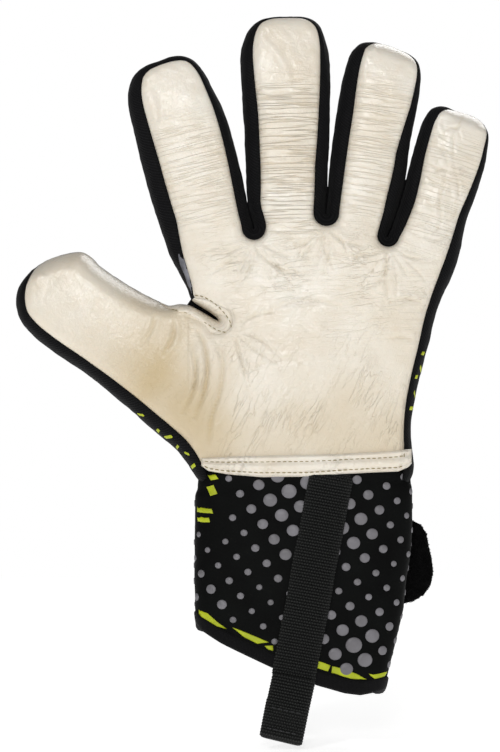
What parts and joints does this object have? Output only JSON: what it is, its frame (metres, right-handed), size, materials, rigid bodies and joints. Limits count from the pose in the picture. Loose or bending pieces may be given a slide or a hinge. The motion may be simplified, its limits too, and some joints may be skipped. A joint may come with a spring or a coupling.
{
  "type": "goalkeeper glove",
  "caption": "Left goalkeeper glove with a padded latex palm, finger gussets, a wrist cuff with a closure strap, and a webbing pull tab.",
  "frame": {"origin": "centre of the hand opening, in the plane of the cuff's slanted hem", "axes": "+X towards the little finger, +Y towards the back of the hand, +Z towards the fingertips; the palm faces -Y"},
  "size_m": [0.206, 0.0398, 0.3128],
  "materials": {
    "latex": "satin",
    "backing_foam": "matte",
    "mesh_gusset": "matte",
    "back_neoprene": "matte",
    "cuff_neoprene": "matte",
    "binding": "satin",
    "notch_binding": "satin",
    "webbing": "satin",
    "strap": "matte",
    "loop_pile": "matte",
    "hook": "matte",
    "stitching": "satin",
    "dot_print": "satin",
    "lime_print": "satin"
  },
  "bodies": {
    "hand": {"back_of_hand_panel": "back_neoprene", "cuff_hem_binding": "binding", "cuff_hook_panel": "hook", "cuff_sleeve": "cuff_neoprene", "cuff_stretch_panel": "mesh_gusset", "index_middle_gusset": "mesh_gusset", "index_side_gusset": "mesh_gusset", "little_side_gusset": "mesh_gusset", "middle_ring_gusset": "mesh_gusset", "palm_foam": "backing_foam", "palm_hem_band": "latex", "palm_latex": "latex", "pull_webbing": "webbing", "ring_little_gusset": "mesh_gusset", "strap_anchor": "strap", "thumb_notch_binding": "notch_binding", "thumb_side_gusset": "mesh_gusset"},
    "index_base": {"index_base_back": "back_neoprene", "index_base_foam": "backing_foam", "index_base_gusset": "mesh_gusset", "index_base_latex": "latex"},
    "index_tip": {"index_tip_back": "back_neoprene", "index_tip_foam": "backing_foam", "index_tip_gusset": "mesh_gusset", "index_tip_latex": "latex"},
    "middle_base": {"middle_base_back": "back_neoprene", "middle_base_foam": "backing_foam", "middle_base_gusset": "mesh_gusset", "middle_base_latex": "latex"},
    "middle_tip": {"middle_tip_back": "back_neoprene", "middle_tip_foam": "backing_foam", "middle_tip_gusset": "mesh_gusset", "middle_tip_latex": "latex"},
    "ring_base": {"ring_base_back": "back_neoprene", "ring_base_foam": "backing_foam", "ring_base_gusset": "mesh_gusset", "ring_base_latex": "latex"},
    "ring_tip": {"ring_tip_back": "back_neoprene", "ring_tip_foam": "backing_foam", "ring_tip_gusset": "mesh_gusset", "ring_tip_latex": "latex"},
    "little_base": {"little_base_back": "back_neoprene", "little_base_foam": "backing_foam", "little_base_gusset": "mesh_gusset", "little_base_latex": "latex"},
    "little_tip": {"little_tip_back": "back_neoprene", "little_tip_foam": "backing_foam", "little_tip_gusset": "mesh_gusset", "little_tip_latex": "latex"},
    "thumb_base": {"thumb_base_back": "back_neoprene", "thumb_base_foam": "backing_foam", "thumb_base_gusset": "mesh_gusset", "thumb_base_latex": "latex"},
    "thumb_tip": {"thumb_tip_back": "back_neoprene", "thumb_tip_foam": "backing_foam", "thumb_tip_gusset": "mesh_gusset", "thumb_tip_latex": "latex"},
    "strap": {"strap_body": "strap", "strap_loop_pile": "loop_pile"},
    "tab": {"pull_tab": "webbing"}
  },
  "joints": [
    {"name": "index_knuckle_flex", "type": "hinge", "parent": "hand", "child": "index_base", "pos_m": [-0.04365, -0.011, 0.19349], "axis": [0.9681, 0, 0.2504], "range_deg": [0, 50]},
    {"name": "index_middle_flex", "type": "hinge", "parent": "index_base", "child": "index_tip", "pos_m": [-0.05217, -0.011, 0.2264], "axis": [0.9681, 0, 0.2504], "range_deg": [0, 55]},
    {"name": "middle_knuckle_flex", "type": "hinge", "parent": "hand", "child": "middle_base", "pos_m": [-0.00757, -0.011, 0.2044], "axis": [0.9998, 0, 0.0209], "range_deg": [0, 50]},
    {"name": "middle_middle_flex", "type": "hinge", "parent": "middle_base", "child": "middle_tip", "pos_m": [-0.00837, -0.011, 0.24239], "axis": [0.9998, 0, 0.0209], "range_deg": [0, 55]},
    {"name": "ring_knuckle_flex", "type": "hinge", "parent": "hand", "child": "ring_base", "pos_m": [0.02399, -0.011, 0.20205], "axis": [0.9882, 0, -0.153], "range_deg": [0, 50]},
    {"name": "ring_middle_flex", "type": "hinge", "parent": "ring_base", "child": "ring_tip", "pos_m": [0.02919, -0.011, 0.23565], "axis": [0.9882, 0, -0.153], "range_deg": [0, 55]},
    {"name": "little_knuckle_flex", "type": "hinge", "parent": "hand", "child": "little_base", "pos_m": [0.05341, -0.011, 0.19018], "axis": [0.9563, 0, -0.2924], "range_deg": [0, 50]},
    {"name": "little_middle_flex", "type": "hinge", "parent": "little_base", "child": "little_tip", "pos_m": [0.06101, -0.011, 0.21504], "axis": [0.9563, 0, -0.2924], "range_deg": [0, 55]},
    {"name": "thumb_knuckle_flex", "type": "hinge", "parent": "hand", "child": "thumb_base", "pos_m": [-0.06837, -0.011, 0.1358], "axis": [0.5635, 0, 0.8261], "range_deg": [0, 40]},
    {"name": "thumb_middle_flex", "type": "hinge", "parent": "thumb_base", "child": "thumb_tip", "pos_m": [-0.09316, -0.011, 0.1527], "axis": [0.5635, 0, 0.8261], "range_deg": [0, 45]},
    {"name": "strap_fold", "type": "hinge", "parent": "hand", "child": "strap", "pos_m": [-0.0247, 0.0206, 0.043], "axis": [0, 0, 1], "range_deg": [0, 160]},
    {"name": "pull_tab_swing", "type": "hinge", "parent": "hand", "child": "tab", "pos_m": [-0.00489, -0.0174, -0.00198], "axis": [0.9829, 0, -0.184], "range_deg": [-100, 45]}
  ]
}
